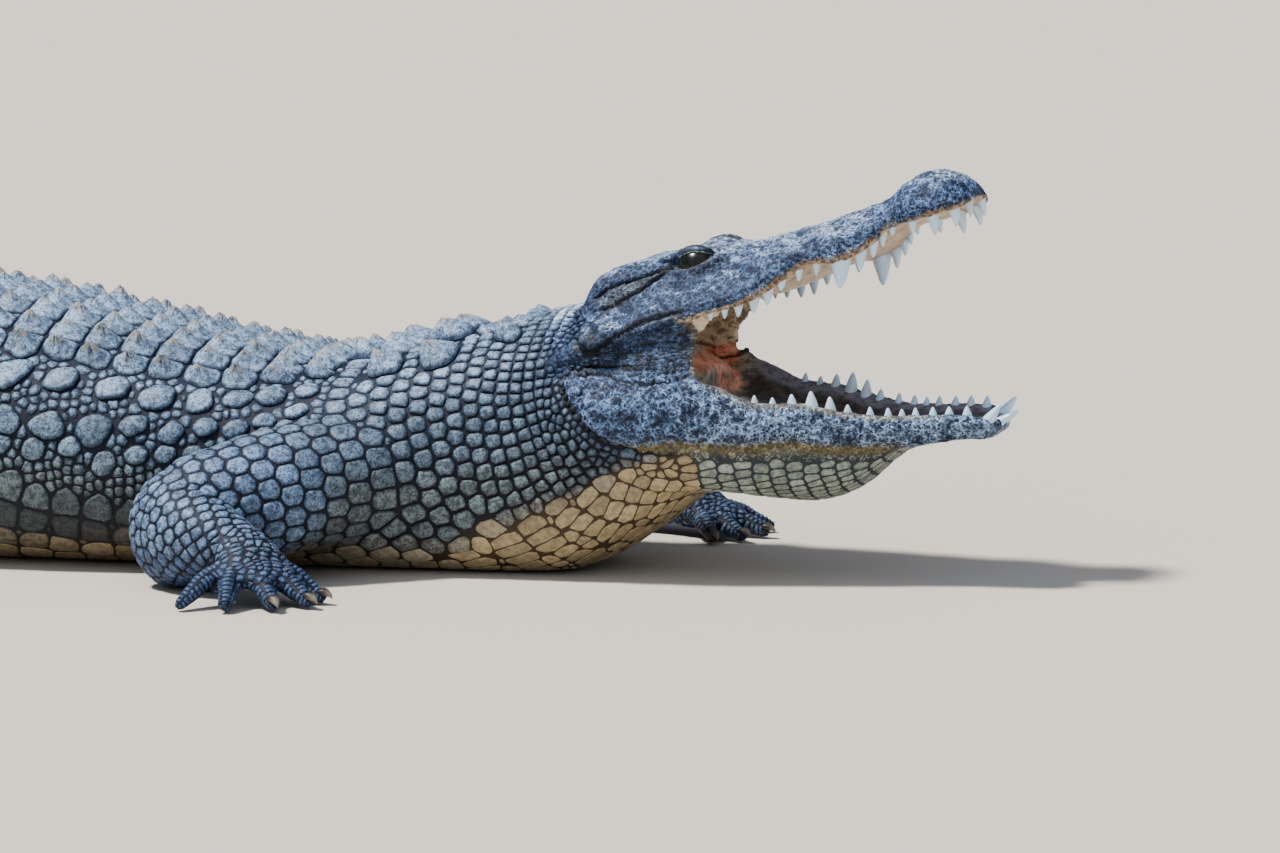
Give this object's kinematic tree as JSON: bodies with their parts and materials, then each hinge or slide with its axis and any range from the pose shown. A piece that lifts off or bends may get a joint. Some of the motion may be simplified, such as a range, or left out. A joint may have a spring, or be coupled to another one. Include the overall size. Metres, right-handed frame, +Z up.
{
  "type": "crocodile",
  "caption": "Life-size still model of a basking Nile crocodile, lying on its belly with its jaws held wide open and its tail gently curved.",
  "frame": {"origin": "bottom centre of the model's box, on the floor under the trunk", "axes": "+X towards the snout, +Y to the animal's left, +Z up"},
  "size_m": [2.9626, 1.0428, 0.4289],
  "materials": {
    "slate_hide": "blue-grey scaly hide, satin",
    "olive_hide": "grey-green scaly hide, satin",
    "limb_hide": "blue-grey scaly hide, satin",
    "jaw_hide": "blue-grey pitted hide, satin",
    "claw_horn": "horn, worn pale",
    "eye": "wet, glossy"
  },
  "bodies": {
    "root": {"claw_1_foot_left": "claw_horn", "claw_1_foot_right": "claw_horn", "claw_1_hand_left": "claw_horn", "claw_1_hand_right": "claw_horn", "claw_2_foot_left": "claw_horn", "claw_2_foot_right": "claw_horn", "claw_2_hand_left": "claw_horn", "claw_2_hand_right": "claw_horn", "claw_3_foot_left": "claw_horn", "claw_3_foot_right": "claw_horn", "claw_3_hand_left": "claw_horn", "claw_3_hand_right": "claw_horn", "eye_left": "eye", "eye_right": "eye", "foot_left": "limb_hide", "foot_right": "limb_hide", "forearm_left": "limb_hide", "forearm_right": "limb_hide", "hand_left": "limb_hide", "hand_right": "limb_hide", "head": "slate_hide", "lower_jaw": "jaw_hide", "neck": "olive_hide", "shin_left": "limb_hide", "shin_right": "limb_hide", "tail_base": "olive_hide", "tail_end": "olive_hide", "tail_fore": "olive_hide", "tail_middle": "olive_hide", "thigh_left": "limb_hide", "thigh_right": "limb_hide", "trunk_front": "olive_hide", "trunk_rear": "olive_hide", "upper_arm_left": "limb_hide", "upper_arm_right": "limb_hide"}
  },
  "joints": []
}
